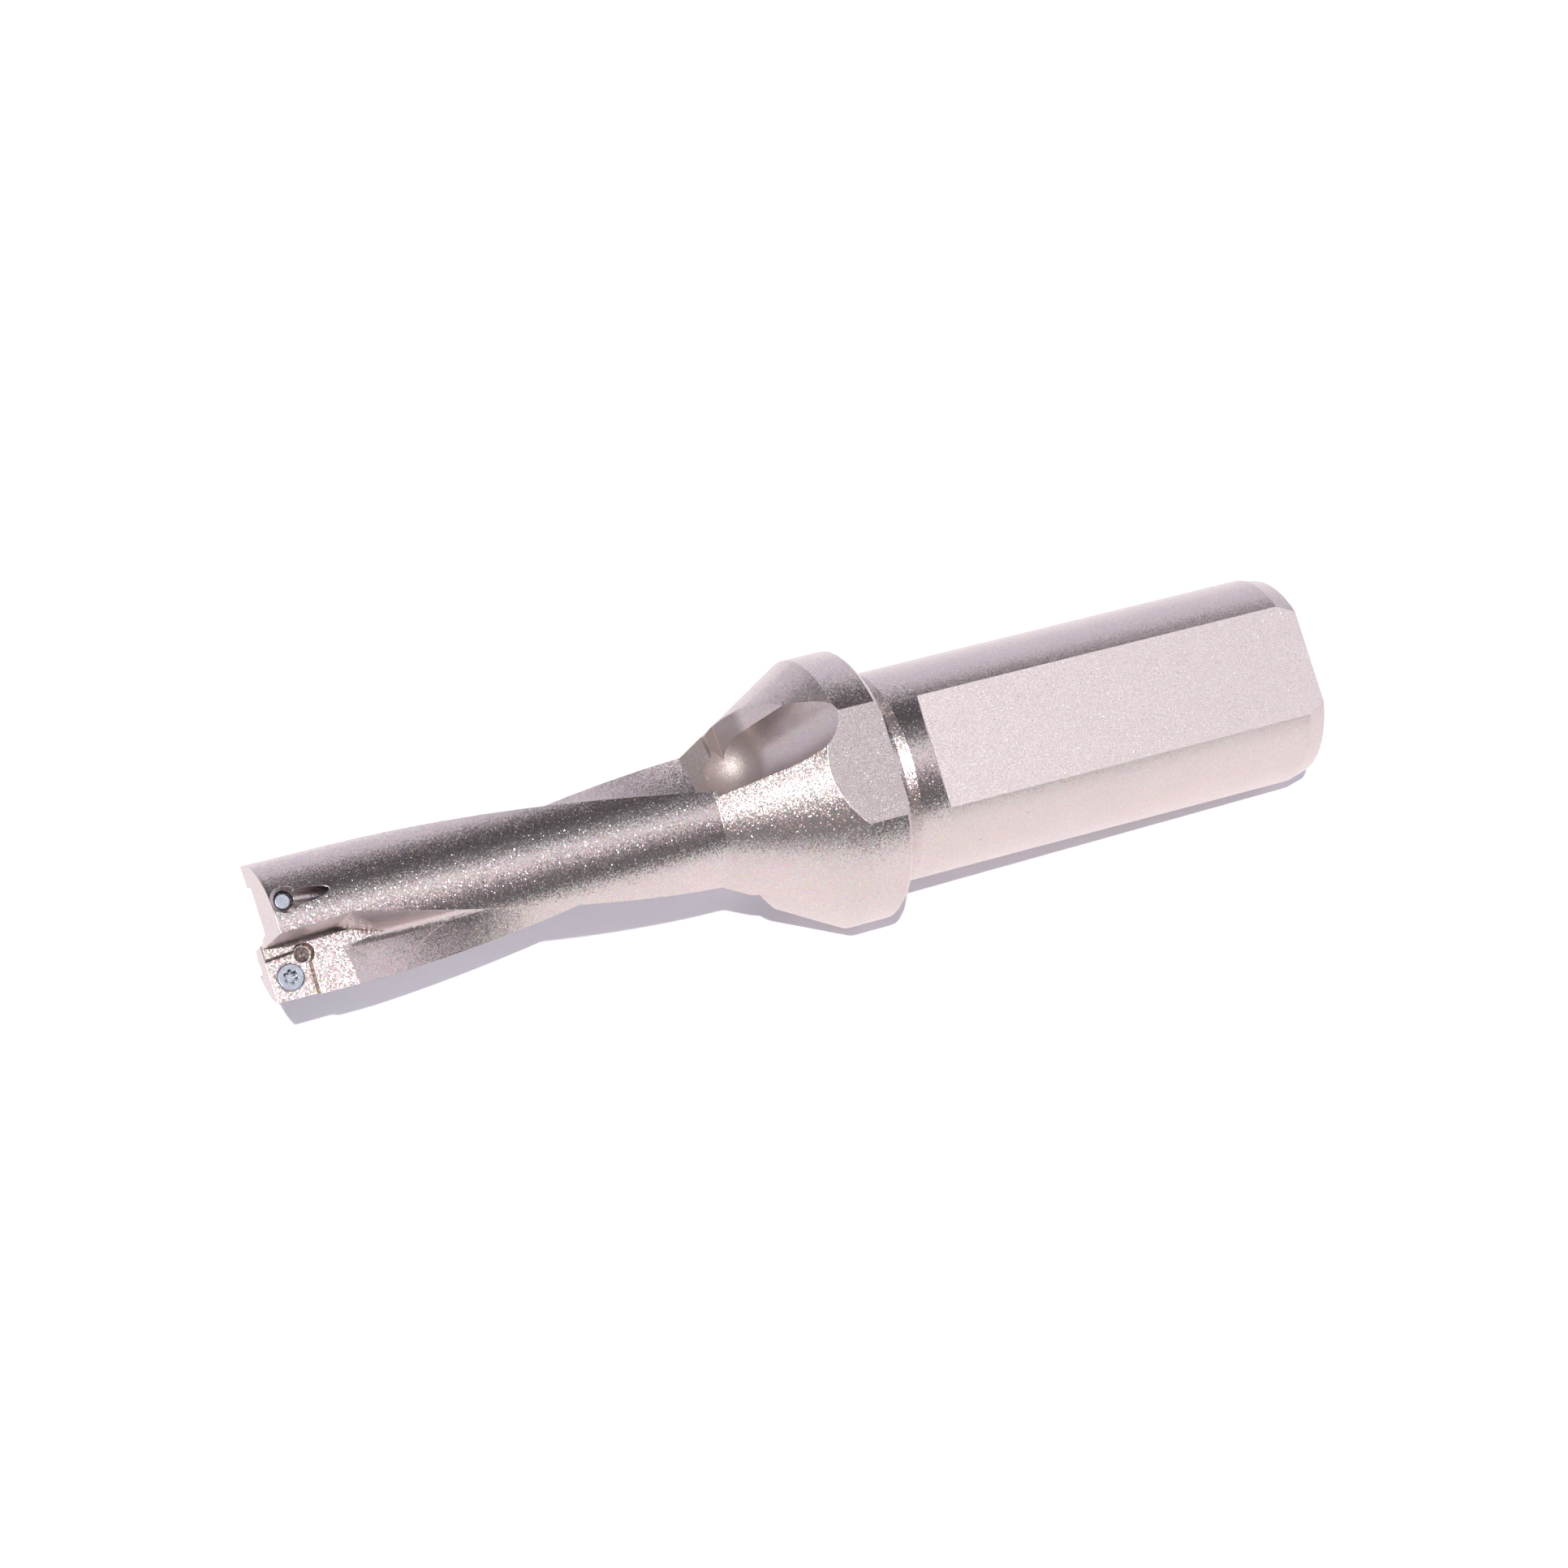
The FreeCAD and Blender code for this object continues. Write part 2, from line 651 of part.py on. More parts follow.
def coolant_channels(body):
    """Inlet in the shank, a bore on the axis and an oblique branch into each land."""
    inlet = new_sketch(body, "CoolantInletCenter", "XY_Plane")
    draw_circle(inlet, 0, 0, cell("coolant_inlet_diameter"))
    hole(
        body, "CoolantInlet", inlet, cell("coolant_inlet_diameter"),
        cell("coolant_inlet_length"), reversed_cut=True,
        sink=cell("coolant_inlet_diameter") + cell("coolant_inlet_chamfer") * 2,
        sink_angle=cell("coolant_inlet_chamfer_angle"),
    )
    bore = new_sketch(body, "CoolantBoreCenter", "XY_Plane")
    draw_circle(bore, 0, 0, cell("coolant_bore_diameter"))
    fork = cell("overall_length") - cell("coolant_fork_depth")
    hole(body, "CoolantBore", bore, cell("coolant_bore_diameter"), fork, reversed_cut=True)
    for land in ("central", "peripheral"):
        sketch = new_sketch(
            body, land.capitalize() + "BranchProfile", "XY_Plane",
            base=(0, 0, fork),
            yaw=half_turn(cell(land + "_branch_direction")), pitch=cell(land + "_branch_tilt"),
        )
        draw_circle(sketch, 0, 0, cell("coolant_branch_diameter"))
        pocket(
            body, land.capitalize() + "Branch", sketch, cell(land + "_branch_length"),
            reversed_cut=True,
        )


def end_face(body):
    """Roof-shaped front end: relief behind each land's edge and a slope across both."""
    reach = cell("body_diameter") / 2 + OVERCUT
    slope = cell("end_slope")
    ridge = cell("overall_length") - cell("body_diameter") / 2 * tangent(slope)
    central_drop = reach * tangent(cell("central_land_relief"))
    peripheral_drop = reach * tangent(cell("peripheral_land_relief"))
    sketch = new_sketch(body, "EndFaceProfile", "YZ_Plane", base=(0, ridge, 0), roll=-slope)
    draw_outline(sketch, [
        (0, 0),
        (reach, -peripheral_drop),
        (reach, reach),
        (-reach, reach),
        (-reach, -central_drop),
    ])
    pocket(body, "EndFace", sketch, reach, back=reach)


def drill_body():
    body = new_body("drill_body")
    turned_blank(body)
    flats(body)
    for name in ("peripheral", "central"):
        start = cell(name + "_flute_direction")
        flute(body, name.capitalize() + "Flute", start, cell(name + "_flute_wall_distance"))
        runout(body, name)
    peripheral_gash(body)
    central_gash(body)
    end_face(body)
    insert_pockets(body)
    screw_holes(body)
    coolant_channels(body)
    return body


def clamp_screw(label, x, y, z, turn):
    """Countersunk clamp screw with a six-lobed socket, its head at the local origin."""
    body = new_body(label)
    head = cell("screw_head_diameter") / 2
    shank = cell("screw_diameter") / 2
    edge = cell("screw_head_edge")
    rim = cell("screw_head_rim")
    tip = cell("screw_tip_chamfer")
    length = cell("screw_length")
    cone_end = rim + (head - shank) / tangent(cell("screw_head_angle") / 2)
    profile = new_sketch(body, label + "_profile", "XZ_Plane")
    draw_outline(profile, [
        (0, 0),
        (head - edge, 0),
        (head, -edge),
        (head, -rim),
        (shank, -cone_end),
        (shank, tip - length),
        (shank - tip, -length),
        (0, -length),
    ])
    revolve(body, label + "_blank", profile)
    root = new_sketch(body, label + "_socket_profile", "XY_Plane")
    draw_circle(root, 0, 0, cell("socket_root_diameter"))
    pocket(body, label + "_socket", root, cell("socket_depth"))
    lobe = new_sketch(body, label + "_lobe_profile", "XY_Plane")
    lobe_radius = cell("socket_lobe_radius")
    draw_circle(lobe, cell("socket_size") / 2 - lobe_radius, 0, lobe_radius * 2)
    cut = pocket(body, label + "_lobe", lobe, cell("socket_depth"))
    before = body.Shape.Volume
    pattern = body.newObject("PartDesign::PolarPattern", label + "_lobes")
    pattern.Originals = [cut]
    pattern.Axis = (lobe, ["N_Axis"])
    pattern.Angle = FULL_TURN
    pattern.Occurrences = SOCKET_LOBES
    finish(body, pattern, before)
    body.Placement = FreeCAD.Placement(
        FreeCAD.Vector(x.value, y.value, z.value),
        FreeCAD.Rotation(FreeCAD.Vector(1, 0, 0), turn),
    )
    for axis, amount in zip("xyz", (x, y, z)):
        bind(body, "Placement.Base." + axis, amount)
    return body


def clamp_screws():
    """Both screws, each with its head standing a little above the floor of its pocket."""
    stand = cell("screw_head_stand")
    top = cell("overall_length")
    peripheral = clamp_screw(
        "peripheral_screw", -cell("peripheral_screw_offset"),
        cell("peripheral_pocket_floor") - stand, top - cell("peripheral_screw_depth"),
        QUARTER_TURN,
    )
    central = clamp_screw(
        "central_screw", cell("central_screw_offset"),
        stand - cell("central_pocket_floor"), top - cell("central_screw_depth"),
        -QUARTER_TURN,
    )
    return [peripheral, central]


def check(pieces):
    """Stop if anything in the document failed, or a piece is empty or not valid."""
    for thing in doc.Objects:
        if "Invalid" in thing.State or "Error" in thing.State:
            raise RuntimeError(thing.Name + " failed")
    for piece in pieces:
        if piece.Shape.isNull() or not piece.Shape.isValid() or len(piece.Shape.Solids) != 1:
            raise RuntimeError(piece.Label + " is not one valid solid")


def main():
    pieces = [drill_body()] + clamp_screws()
    doc.recompute()
    check(pieces)
    os.makedirs("parts", exist_ok=True)
    for piece in pieces:
        piece.Shape.exportStep("parts/%s.step" % piece.Label)
        print("%s: %.1f mm3" % (piece.Label, piece.Shape.Volume))


main()
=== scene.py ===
import math
from types import SimpleNamespace

import bpy
from mathutils import Matrix, Vector

bl_info = {
    "name": "Indexable Insert Drill",
    "version": (1, 0, 0),
    "blender": (4, 5, 0),
    "location": "View3D > Sidebar > Drill",
    "description": "Finishes, fine detail and studio for an indexable insert drill",
    "category": "Object",
}

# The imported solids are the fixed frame: the drill stands on its shank, +Z to the tip,
# and the clamping flat of the shank faces -Y. Blender's own unit is the metre, and the
# materials work in millimetres.
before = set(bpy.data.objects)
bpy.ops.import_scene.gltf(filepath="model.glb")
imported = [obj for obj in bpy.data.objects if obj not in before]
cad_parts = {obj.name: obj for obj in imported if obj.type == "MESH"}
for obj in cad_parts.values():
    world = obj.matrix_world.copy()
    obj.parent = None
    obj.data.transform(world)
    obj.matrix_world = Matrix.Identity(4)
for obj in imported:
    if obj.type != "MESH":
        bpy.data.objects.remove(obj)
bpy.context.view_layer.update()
MM = 0.001

# Places on the drill that the finishes follow, in millimetres
SHANK_FRONT = 49.0
COLLAR_REAR = 56.0
COLLAR_FRONT = 61.3
CONE_FRONT = 75.8
FLOORS_REAR = 104.0
POCKET_REAR = 121.5
END_FACE_REAR = 128.0
COLLAR_RADIUS = 16.0
BODY_RADIUS = 8.0
CONE_SLOPE = (COLLAR_RADIUS - BODY_RADIUS) / (CONE_FRONT - COLLAR_FRONT)
SHANK_FLAT = -10.5
COLLAR_FLAT = -14.5
# Y of the floors of each insert's gash and pocket
PERIPHERAL_FLOORS = (1.38, 2.5)
CENTRAL_FLOORS = (-0.4, -1.75)
# A face's finish reaches this far on both sides of its plane
PLANE_REACH = 0.04

# Lengthwise direction of the run-out slot on the flats' side. Along it, the painted shade and
# higher roughness of the ball-shaped start fade out, and the ground finish with its cutter
# lines begins.
SLOT_ALONG = (0.1355, -0.8473, -0.5135)
SLOT_START_FADE = (-29.8, -31.7)
SLOT_GROUND_FROM = (-31.9, -30.4)

# Cutter marks: centre, spacing and lean of the arcs on the shank's flat, which fade in
# towards its rear end, and spacing and lean of the lines across the run-out slot
ARC_CENTER = (-107.0, 0.0, 50.0)
ARC_FADE = (36.0, 20.0)
ARC_SPACING = 0.31
ARC_LEAN = 0.022
LINE_SPACING = 0.29
LINE_LEAN = 0.20

# Grains in the length of one grain of the body, and of a screw in a millimetre
SHANK_GRAINS = 1.5
FLAT_GRAINS = 1.6
FLOOR_GRAINS = 0.8
SCREW_GRAINS = 8.0
# Lean of the least tilted grains
BODY_LEAST = 0.16
CONE_LEAST = 0.13
FLOOR_LEAST = 0.25
GROUND_LEAST = 0.06
SCREW_LEAST = 0.06
# Lean of the most tilted grains: shares of the lean in the settings, and fixed leans
SHANK_SHARE = 0.7
CUT_SHARE = 0.6
FLOOR_SHARE = 1.2
GROUND_MOST = 0.15
SCREW_MOST = 0.16

# Spacing of the lone grains that flash and of the places where a dark speck may lie
FLASH_SPACING = 0.8
FLASH_LEAN = 0.8
SPECK_SPACING = 2.6

# Colours of the steel
NICKEL_DARK = (0.615, 0.535, 0.53)
NICKEL_LIGHT = (0.67, 0.58, 0.57)
SPECK_BROWN = (0.10, 0.08, 0.075)
SHANK_FLAT_SILVER = (0.76, 0.675, 0.665)
COLLAR_FLAT_GREY = (0.47, 0.415, 0.41)
# Painted shade: dark brown on the walls of the peripheral pocket
POCKET_WALL_PAINTED_SHADE = (0.13, 0.09, 0.07)
# Painted shade in the body's corners and hollows
HOLLOW_PAINTED_SHADE = (0.22, 0.165, 0.14)
# Painted shade: darker grey of the slot's ball-shaped start, which dims its highlight
SLOT_START_PAINTED_SHADE = (0.33, 0.285, 0.27)
SCREW_DARK = (0.34, 0.36, 0.42)
SCREW_LIGHT = (0.50, 0.53, 0.60)
# Painted shade in the peripheral screw's recess
SCREW_RECESS_PAINTED_SHADE = (0.05, 0.05, 0.06)

# Roughness of the faces that don't take it from the settings
CONE_ROUGHER = 0.03
SLOT_START_ROUGHNESS = 0.60
FLAT_ROUGHNESS = 0.42
SCREW_ROUGHNESS = 0.36
# Rounding of the screws' edges
SCREW_ROUNDING = 0.06

# Each draw of random values starts from another place, so that the draws differ
LEAN_DRAW = 7.3
FLASH_DRAW = 4.0
SPECK_DRAW = 9.0


# ---------------------------------------------------------------- node helpers

class Nodes:
    """Short calls for building a node tree."""

    def __init__(self, tree):
        self.tree = tree

    def add(self, kind, **settings):
        node = self.tree.nodes.new(kind)
        for key, value in settings.items():
            setattr(node, key, value)
        return node

    def link(self, source, target):
        """Join an output to an input, or set the input to a number or a tuple."""
        if isinstance(source, (int, float)):
            target.default_value = source
        elif isinstance(source, (tuple, Vector)):
            same = len(source) == len(target.default_value)
            target.default_value = source if same else (*source, 1)
        else:
            self.tree.links.new(source, target)

    def math(self, operation, a, b=0.0, c=0.0):
        node = self.add("ShaderNodeMath", operation=operation)
        for value, target in zip((a, b, c), node.inputs):
            self.link(value, target)
        return node.outputs[0]

    def product(self, first, *others):
        for other in others:
            first = self.math("MULTIPLY", first, other)
        return first

    def larger(self, first, second):
        return self.math("MAXIMUM", first, second)

    def vector(self, operation, a, b=(0, 0, 0), scale=None):
        node = self.add("ShaderNodeVectorMath", operation=operation)
        self.link(a, node.inputs[0])
        self.link(b, node.inputs[1])
        if scale is not None:
            self.link(scale, node.inputs["Scale"])
        return node.outputs["Value" if operation in ("DOT_PRODUCT", "LENGTH") else "Vector"]

    def step(self, value, low, high):
        """0 at low, 1 at high, smooth between; low may be the larger."""
        node = self.add("ShaderNodeMapRange", interpolation_type="SMOOTHSTEP")
        self.link(value, node.inputs["Value"])
        if low > high:
            low, high = high, low
            node.inputs["To Min"].default_value = 1.0
            node.inputs["To Max"].default_value = 0.0
        node.inputs["From Min"].default_value = low
        node.inputs["From Max"].default_value = high
        return node.outputs[0]

    def mix(self, factor, first, second):
        """Colour between first and second."""
        node = self.add("ShaderNodeMix", data_type="RGBA")
        self.link(factor, node.inputs["Factor"])
        self.link(first, node.inputs[6])
        self.link(second, node.inputs[7])
        return node.outputs[2]

    def blend(self, factor, first, second):
        """Number between first and second."""
        node = self.add("ShaderNodeMix", data_type="FLOAT")
        self.link(factor, node.inputs["Factor"])
        self.link(first, node.inputs[2])
        self.link(second, node.inputs[3])
        return node.outputs[0]


class Surface(Nodes):
    """Nodes of one new material, with places in millimetres."""

    def __init__(self, name):
        self.material = bpy.data.materials.new(name)
        self.material.use_nodes = True
        super().__init__(self.material.node_tree)
        self.tree.nodes.clear()
        self.output = self.add("ShaderNodeOutputMaterial")
        metres = self.add("ShaderNodeTexCoord").outputs["Object"]
        self.place = self.vector("SCALE", metres, scale=1.0 / MM)
        split = self.add("ShaderNodeSeparateXYZ")
        self.link(self.place, split.inputs[0])
        self.x, self.y, self.z = split.outputs

    def combine(self, x, y, z):
        node = self.add("ShaderNodeCombineXYZ")
        for value, target in zip((x, y, z), node.inputs):
            self.link(value, target)
        return node.outputs[0]

    def near(self, value, middle, reach):
        """1 close to a value, 0 farther from it than the reach."""
        away = self.math("ABSOLUTE", self.math("SUBTRACT", value, middle))
        return self.step(away, reach, reach / 2)

    def noise(self, size, detail=2.0, roughness=0.5):
        """Cloudy 0 to 1 value with features of that size in millimetres."""
        node = self.add("ShaderNodeTexNoise")
        self.link(self.place, node.inputs["Vector"])
        node.inputs["Scale"].default_value = 1.0 / size
        node.inputs["Detail"].default_value = detail
        node.inputs["Roughness"].default_value = roughness
        return node.outputs["Fac"]

    def grains(self, scale):
        """Place of the nearest of many scattered grains, and the distance to it."""
        node = self.add("ShaderNodeTexVoronoi")
        self.link(self.vector("SCALE", self.place, scale=scale), node.inputs["Vector"])
        node.inputs["Scale"].default_value = 1.0
        return node.outputs["Position"], node.outputs["Distance"]

    def scatter(self, grain, draw=0.0):
        """Random direction and 0 to 1 value for each grain."""
        node = self.add("ShaderNodeTexWhiteNoise", noise_dimensions="3D")
        self.link(self.vector("ADD", grain, (draw, draw, draw)), node.inputs["Vector"])
        return node.outputs["Color"], node.outputs["Value"]

    def lean(self, way, amount):
        """Tilt of the normal in a grain's random direction."""
        return self.vector("SCALE", self.vector("SUBTRACT", way, (0.5, 0.5, 0.5)), scale=amount)

    def facets(self, scale, least, most):
        """Lean of each grain of a blasted surface: little for most, much for a few."""
        grain, _ = self.grains(scale)
        way, _ = self.scatter(grain)
        # The value repeats a part of the direction, so the amount needs its own draw
        _, share = self.scatter(grain, LEAN_DRAW)
        amount = self.math("POWER", share, 5.0)
        amount = self.math("MULTIPLY_ADD", amount, self.math("SUBTRACT", most, least), least)
        return self.lean(way, amount), way

    def softened_edges(self, reach):
        """Normal that rolls over each edge as a small rounding would."""
        node = self.add("ShaderNodeBevel", samples=6)
        node.inputs["Radius"].default_value = reach * MM
        return node.outputs[0]

    def crevice_shade(self, reach):
        """1 in corners and hollows narrower than the reach, 0 in the open, from ambient
        occlusion: where painted shade goes.
        """
        node = self.add("ShaderNodeAmbientOcclusion", samples=8)
        node.inputs["Distance"].default_value = reach * MM
        return self.step(node.outputs["AO"], 0.90, 0.40)

    def tilted(self, normal, *tilts):
        """Normal with all the tilts added to it."""
        for tilt in tilts:
            normal = self.vector("ADD", normal, tilt)
        return self.vector("NORMALIZE", normal)

    def metal(self, color, roughness, normal):
        """Finish the material as bare metal."""
        shader = self.add("ShaderNodeBsdfPrincipled")
        self.link(color, shader.inputs["Base Color"])
        self.link(roughness, shader.inputs["Roughness"])
        shader.inputs["Metallic"].default_value = 1.0
        self.link(normal, shader.inputs["Normal"])
        self.link(shader.outputs[0], self.output.inputs["Surface"])


# ---------------------------------------------------------------- finishes

def faces_of_body(n):
    """Where each face of the drill body lies: 1 on it and 0 off it."""
    radius = n.vector("LENGTH", n.combine(n.x, n.y, 0.0))
    # The cone's side, carried on to the shank's rear end, where Z is 0
    widest = COLLAR_RADIUS + COLLAR_FRONT * CONE_SLOPE
    cone_radius = n.math("SUBTRACT", widest, n.product(n.z, CONE_SLOPE))
    below_cone = n.math("SUBTRACT", cone_radius, radius)
    along_slot = n.vector("DOT_PRODUCT", n.place, SLOT_ALONG)
    left = n.step(n.x, 0.0, -0.2)
    right = n.step(n.x, 0.0, 0.2)
    floor_part = n.step(n.z, FLOORS_REAR, FLOORS_REAR + 0.5)

    on_body = n.step(n.z, CONE_FRONT - 0.2, CONE_FRONT + 0.2)
    past_collar = n.step(n.z, COLLAR_FRONT - 0.05, COLLAR_FRONT + 0.05)
    on_cone = n.math("SUBTRACT", past_collar, on_body)
    cut_in = n.product(on_body, n.step(radius, BODY_RADIUS - 0.03, BODY_RADIUS - 0.09))

    in_slot = n.product(
        on_cone,
        n.step(below_cone, 0.05, 0.15),
        n.step(n.y, COLLAR_FLAT + 0.02, COLLAR_FLAT + 0.10),
    )
    slot_start = n.product(in_slot, n.step(along_slot, *SLOT_START_FADE))
    slot_run = n.product(in_slot, n.step(along_slot, *SLOT_GROUND_FROM))

    behind_collar = n.step(n.z, COLLAR_REAR, COLLAR_REAR - 0.1)
    from_collar = n.step(n.z, COLLAR_REAR, COLLAR_REAR + 0.1)
    shank_flat = n.product(n.near(n.y, SHANK_FLAT, PLANE_REACH), behind_collar)
    collar_flat = n.product(n.near(n.y, COLLAR_FLAT, PLANE_REACH), from_collar)

    def floors_of(side, distances):
        gash, pocket = (n.near(n.y, distance, PLANE_REACH) for distance in distances)
        return n.product(side, floor_part, n.larger(gash, pocket))

    floors = n.larger(floors_of(left, PERIPHERAL_FLOORS), floors_of(right, CENTRAL_FLOORS))

    # Walls of the peripheral pocket, between the gash's floor and the pocket's own
    gash_floor, pocket_floor = PERIPHERAL_FLOORS
    pocket_walls = n.product(
        left,
        cut_in,
        n.step(n.y, gash_floor + 0.06, gash_floor + 0.16),
        n.step(n.y, pocket_floor - 0.04, pocket_floor - 0.10),
        n.step(n.z, POCKET_REAR, POCKET_REAR + 0.5),
    )
    end_face = n.step(n.z, END_FACE_REAR, END_FACE_REAR + 0.4)
    return SimpleNamespace(
        body=on_body,
        cone=on_cone,
        cut_in=cut_in,
        shank=n.step(n.z, SHANK_FRONT + 0.5, SHANK_FRONT - 0.5),
        shank_flat=shank_flat,
        collar_flat=collar_flat,
        flats=n.larger(shank_flat, collar_flat),
        floors=n.product(floors, cut_in),
        pocket_walls=pocket_walls,
        slot_start=slot_start,
        slot_run=slot_run,
        along_slot=along_slot,
        ground=n.larger(slot_run, end_face),
    )


def blasted_grain(n, on, finish):
    """Grain of every face: coarse on body and cone, finer where only machined."""
    size = finish.grain_size
    most_lean = finish.grain_lean
    scale = n.blend(on.shank, 1.0 / size, SHANK_GRAINS / size)
    scale = n.blend(on.flats, scale, FLAT_GRAINS / size)
    scale = n.blend(on.floors, scale, FLOOR_GRAINS / size)
    least = n.blend(on.cone, BODY_LEAST, CONE_LEAST)
    least = n.blend(on.floors, least, FLOOR_LEAST)
    least = n.blend(on.ground, least, GROUND_LEAST)
    most = n.blend(on.shank, most_lean, most_lean * SHANK_SHARE)
    most = n.blend(on.cut_in, most, most_lean * CUT_SHARE)
    most = n.blend(on.ground, most, GROUND_MOST)
    most = n.blend(on.floors, most, most_lean * FLOOR_SHARE)
    return n.facets(scale, least, most)


def flat_arcs(n, on):
    """Cutter arcs on the rear part of the shank's flat."""
    from_cutter = n.vector("SUBTRACT", n.combine(n.x, 0.0, n.z), ARC_CENTER)
    arc = n.math("SINE", n.product(n.vector("LENGTH", from_cutter), 2 * math.pi / ARC_SPACING))
    arc = n.product(arc, n.step(n.z, *ARC_FADE), on.shank_flat, ARC_LEAN)
    return n.vector("SCALE", n.vector("NORMALIZE", from_cutter), scale=arc)


def slot_lines(n, on):
    """Close cutter lines across the run-out slot."""
    line = n.math("SINE", n.product(on.along_slot, 2 * math.pi / LINE_SPACING))
    line = n.product(line, n.noise(1.2), on.slot_run, LINE_LEAN)
    return n.vector("SCALE", SLOT_ALONG, scale=line)


def lone_flashes(n, on):
    """Single grains that flash on the smoother faces."""
    grain, distance = n.grains(1.0 / FLASH_SPACING)
    way, _ = n.scatter(grain, FLASH_DRAW)
    lone = n.step(distance, 0.10, 0.06)
    lone = n.product(lone, n.math("SUBTRACT", 1.0, on.cut_in))
    return n.lean(way, n.product(lone, FLASH_LEAN))


def nickel_color(n, on, way):
    """Warm nickel with faint clouds, coloured glints, a few dark specks, and painted shade in
    recesses and on the slot's start.
    """
    color = n.mix(n.noise(6.0, 3.0, 0.55), NICKEL_DARK, NICKEL_LIGHT)
    glint = n.vector("ADD", n.vector("SCALE", way, scale=0.36), (0.82, 0.82, 0.82))
    color = n.vector("MULTIPLY", color, glint)
    grain, distance = n.grains(1.0 / SPECK_SPACING)
    _, pick = n.scatter(grain, SPECK_DRAW)
    speck = n.product(n.step(distance, 0.05, 0.025), n.step(pick, 0.55, 0.65))
    color = n.mix(n.product(speck, 0.6), color, SPECK_BROWN)
    color = n.mix(n.product(on.shank_flat, 0.75), color, SHANK_FLAT_SILVER)
    color = n.mix(n.product(on.collar_flat, 0.7), color, COLLAR_FLAT_GREY)
    # Painted shade: recesses are painted browner and darker than the open faces
    color = n.mix(n.product(on.pocket_walls, 0.85), color, POCKET_WALL_PAINTED_SHADE)
    # Painted shade in the body's corners and hollows, placed by ambient occlusion
    color = n.mix(n.product(n.crevice_shade(1.0), on.body, 0.9), color, HOLLOW_PAINTED_SHADE)
    # Painted shade on the slot's ball-shaped start, which dims its highlight
    return n.mix(n.product(on.slot_start, 0.7), color, SLOT_START_PAINTED_SHADE)


def plated_steel(finish):
    """Satin nickel plating: bead-blasted faces, milled flats, flutes and slots."""
    n = Surface("nickel_plated_steel")
    on = faces_of_body(n)
    lean, way = blasted_grain(n, on, finish)
    rounded = n.softened_edges(finish.edge_rounding)
    normal = n.tilted(rounded, lean, flat_arcs(n, on), slot_lines(n, on), lone_flashes(n, on))
    blasted = finish.blasted_roughness
    roughness = n.blend(on.cone, blasted, blasted + CONE_ROUGHER)
    roughness = n.blend(on.slot_start, roughness, SLOT_START_ROUGHNESS)
    roughness = n.blend(n.larger(on.flats, on.floors), roughness, FLAT_ROUGHNESS)
    n.metal(nickel_color(n, on, way), roughness, normal)
    return n.material


def screw_steel():
    """Bluish ground steel of the clamp screws, with painted shade in the peripheral screw's
    recess.
    """
    n = Surface("screw_steel")
    color = n.mix(n.noise(0.14, 2.0, 0.6), SCREW_DARK, SCREW_LIGHT)
    peripheral = n.step(n.x, 0.2, -0.2)
    # Painted shade in the peripheral screw's recess, placed by ambient occlusion
    color = n.mix(n.product(n.crevice_shade(0.6), peripheral, 0.9), color, SCREW_RECESS_PAINTED_SHADE)
    lean, _ = n.facets(SCREW_GRAINS, SCREW_LEAST, SCREW_MOST)
    n.metal(color, SCREW_ROUGHNESS, n.tilted(n.softened_edges(SCREW_ROUNDING), lean))
    return n.material


# ---------------------------------------------------------------- settings

class DrillFinish(bpy.types.PropertyGroup):
    blasted_roughness: bpy.props.FloatProperty(
        name="Blasted roughness", description="Roughness of each grain of the blasted faces",
        default=0.31, min=0.0, max=1.0, subtype="FACTOR",
    )
    grain_size: bpy.props.FloatProperty(
        name="Grain size", description="Size of the blasted grains, in millimetres",
        default=0.11, min=0.02, max=1.0,
    )
    grain_lean: bpy.props.FloatProperty(
        name="Grain lean", description="How far the most tilted grains lean from the surface",
        default=0.52, min=0.0, max=2.0,
    )
    edge_rounding: bpy.props.FloatProperty(
        name="Edge rounding", description="Rounding of the edges, in millimetres",
        default=0.08, min=0.0, max=0.5,
    )


class DrillStudio(bpy.types.PropertyGroup):
    table_reach: bpy.props.FloatProperty(
        name="Table reach", description="Half width of the table top",
        default=3.0, min=0.5, unit="LENGTH",
    )
    table_front: bpy.props.FloatProperty(
        name="Table front", description="How far the table top reaches in front of the drill",
        default=0.13, min=0.05, unit="LENGTH",
    )
    table_color: bpy.props.FloatVectorProperty(
        name="Table colour", description="Colour of the table top", subtype="COLOR",
        default=(0.73, 0.725, 0.735), min=0.0, max=1.0, size=3,
    )
    lamp_strength: bpy.props.FloatProperty(
        name="Lamp strength", description="Strength of the small key light",
        default=3.8, min=0.0,
    )
    window_strength: bpy.props.FloatProperty(
        name="Window strength", description="Strength of the two soft windows",
        default=2.4, min=0.0,
    )
    surround_color: bpy.props.FloatVectorProperty(
        name="Backdrop light", description="Light from the backdrop behind the drill",
        subtype="COLOR", default=(0.91, 0.90, 1.02), min=0.0, max=2.0, size=3,
    )
    room_color: bpy.props.FloatVectorProperty(
        name="Room light", description="Light from the room in front of the drill",
        subtype="COLOR", default=(0.012, 0.008, 0.013), min=0.0, max=2.0, size=3,
    )


# ---------------------------------------------------------------- pieces

def repaint(node, material):
    """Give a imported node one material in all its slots."""
    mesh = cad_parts[node].data
    mesh.materials.clear()
    mesh.materials.append(material)


class DRILL_OT_body(bpy.types.Operator):
    """Give the drill body its plated finish"""
    bl_idname = "drill.body"
    bl_label = "Drill body"

    def execute(self, context):
        repaint("drill_body", plated_steel(context.scene.drill_finish))
        return {"FINISHED"}


